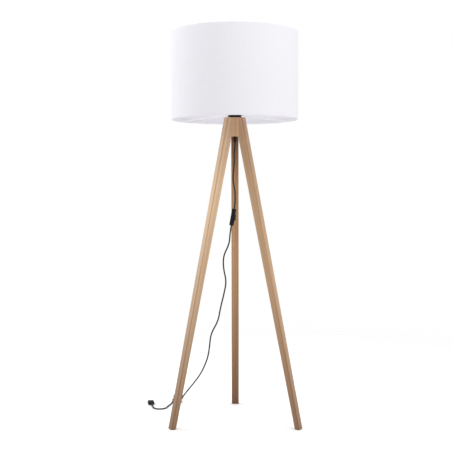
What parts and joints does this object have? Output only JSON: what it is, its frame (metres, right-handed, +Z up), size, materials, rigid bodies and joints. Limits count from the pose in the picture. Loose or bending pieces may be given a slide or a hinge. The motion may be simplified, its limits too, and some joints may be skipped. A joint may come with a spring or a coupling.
{
  "type": "tripod floor lamp",
  "caption": "Free-standing floor lamp: splayed wooden tripod on a hexagonal block, white fabric drum shade, black lampholder and a lead with an in-line rocker switch.",
  "frame": {"origin": "on the floor, on the axis of the block, lampholder and shade, midway between the three feet", "axes": "+Z up along the lamp's axis; +Y towards the rear leg; +X to the right as seen from the front; front legs at 120 degrees to the rear leg"},
  "size_m": [0.5733, 0.5911, 1.387],
  "materials": {
    "wood": "clear matt lacquer over a light brown stain, straight grain",
    "dowel_wood": "plain beech dowel",
    "felt": "dense dark felt",
    "zinc_steel": "zinc plated",
    "black_plastic": "moulded, fine texture",
    "black_gloss_plastic": "moulded, polished",
    "holder_insert": "pressed ceramic-filled moulding",
    "brass": "bright, unlacquered",
    "nickel": "nickel plated",
    "black_cord": "soft PVC sheath",
    "wire_insulation": "single core insulation",
    "cable_tie": "hook and loop strap",
    "shade_fabric": "white plain weave, laminated",
    "shade_liner": "white styrene backing, satin",
    "white_wire": "white powder coat on steel wire",
    "solder": "tinned",
    "opal_glass": "opal, frosted",
    "bulb_post": "white light-engine post"
  },
  "bodies": {
    "tripod": {"head_block": "wood", "leg_rear": "wood", "leg_front_left": "wood", "leg_front_right": "wood", "leg_dowels": "dowel_wood", "foot_pads": "felt", "threaded_nipple": "zinc_steel", "nipple_washer": "zinc_steel", "nipple_nuts": "zinc_steel", "lampholder_base": "black_plastic", "lampholder_body": "black_plastic", "lampholder_insert": "holder_insert", "screw_shell": "brass", "centre_contact": "brass", "cord_bushing": "black_plastic", "cord_inner": "black_cord", "lead_wires": "wire_insulation", "cord_upper": "black_cord", "switch_back": "black_plastic", "switch_front": "black_plastic", "switch_terminals": "brass", "switch_blade": "brass", "switch_screws": "zinc_steel", "cord_lower": "black_cord", "cord_hank": "black_cord", "hank_tie": "cable_tie", "cord_tail": "black_cord", "plug_body": "black_plastic", "plug_blades": "nickel"},
    "rocker": {"switch_rocker": "black_gloss_plastic"},
    "shade": {"shade_fabric": "shade_fabric", "shade_liner": "shade_liner", "shade_top_ring": "white_wire", "shade_bottom_frame": "white_wire"},
    "lock_ring": {"shade_lock_ring": "black_plastic"},
    "bulb": {"bulb_contact": "solder", "bulb_insulator": "black_gloss_plastic", "bulb_cap": "nickel", "bulb_glass": "opal_glass", "bulb_post": "bulb_post"}
  },
  "joints": [
    {"name": "rocker_tip", "type": "hinge", "parent": "tripod", "child": "rocker", "pos_m": [-0.00253, 0, 0.73054], "axis": [0, 1, 0], "range_deg": [0, 14]},
    {"name": "shade_turn", "type": "hinge", "parent": "tripod", "child": "shade", "pos_m": [0, 0, 1.0935], "axis": [0, 0, 1], "continuous": true},
    {"name": "lock_ring_turn", "type": "hinge", "parent": "tripod", "child": "lock_ring", "pos_m": [0, 0, 1.1], "axis": [0, 0, 1], "range_deg": [0, 1440]},
    {"name": "bulb_turn", "type": "hinge", "parent": "tripod", "child": "bulb", "pos_m": [0, 0, 1.12], "axis": [0, 0, 1], "range_deg": [0, 1800]}
  ]
}
